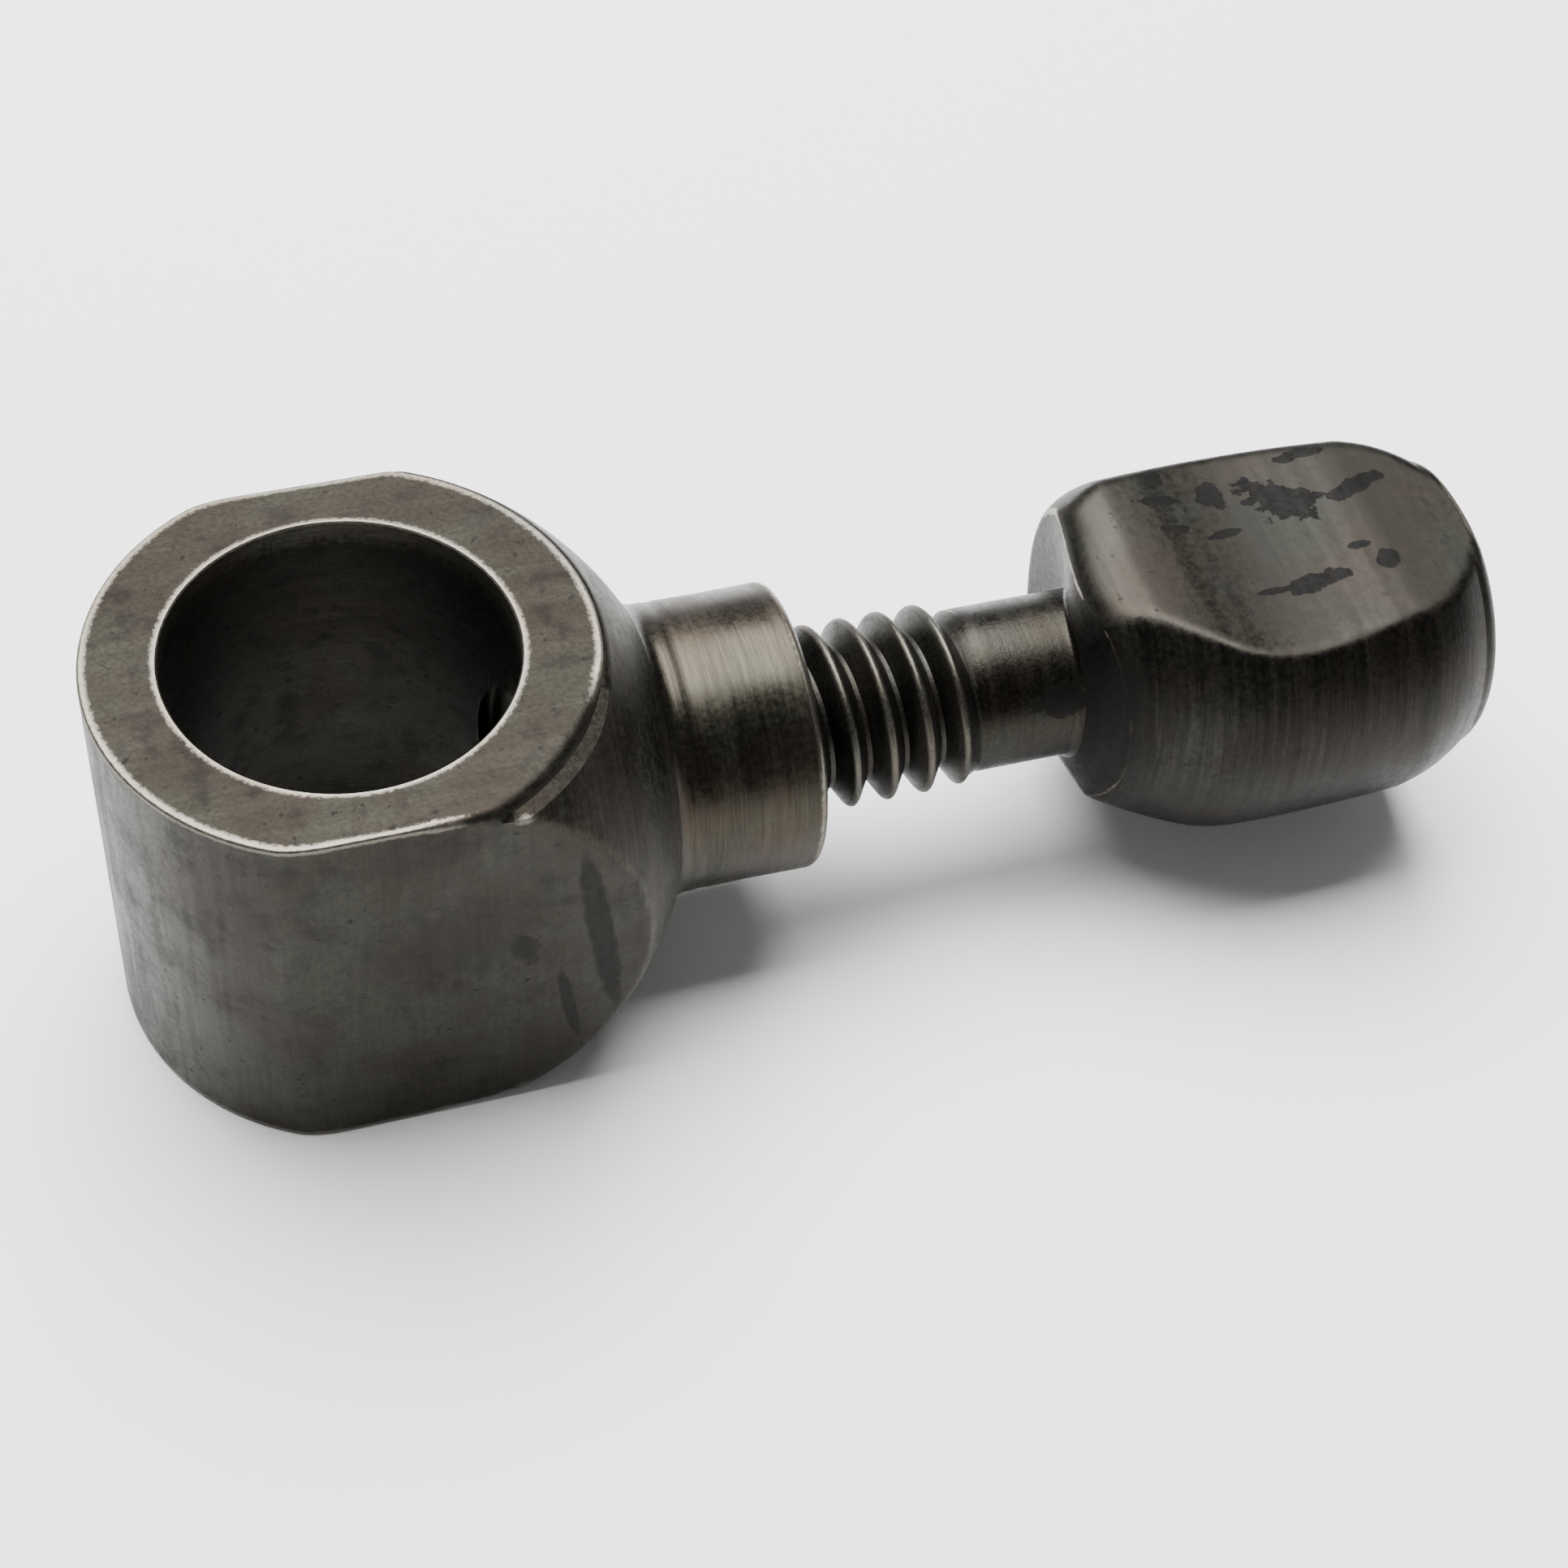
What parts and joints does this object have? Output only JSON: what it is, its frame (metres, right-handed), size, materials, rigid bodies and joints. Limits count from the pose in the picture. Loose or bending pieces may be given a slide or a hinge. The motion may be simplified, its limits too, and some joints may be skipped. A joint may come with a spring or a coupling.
{
  "type": "clamp_eye",
  "caption": "Small steel clamp eye: bored, ball-turned eye with a tapped neck, and a scooped thumb screw that locks a rod in the bore",
  "frame": {"origin": "centre of the eye, on the bore's axis halfway through it", "axes": "+Z along the bore, +X along the neck and the screw towards its head, +Y across"},
  "size_m": [0.0458, 0.0144, 0.0146],
  "materials": {
    "eye_steel": "aged dark mottled steel with fine turning marks",
    "screw_steel": "aged dark steel, worn satin grips with black oxide spots",
    "pad_brass": "dull turned brass"
  },
  "bodies": {
    "eye": {"eye_collar": "eye_steel"},
    "pad": {"clamp_pad": "pad_brass"},
    "screw": {"thumb_screw": "screw_steel"}
  },
  "joints": [
    {"name": "screw_advance", "type": "slide", "parent": "eye", "child": "pad", "axis": [-1, 0, 0], "range_m": [-0.00508, 0.00571]},
    {"name": "screw_turn", "type": "hinge", "parent": "pad", "child": "screw", "pos_m": [0.02, 0, 0], "axis": [-1, 0, 0], "range_deg": [-1441, 1621]}
  ],
  "couplings": [
    {"joint": "screw_turn", "follows": "screw_advance", "rad_per_m": 4947.4}
  ]
}
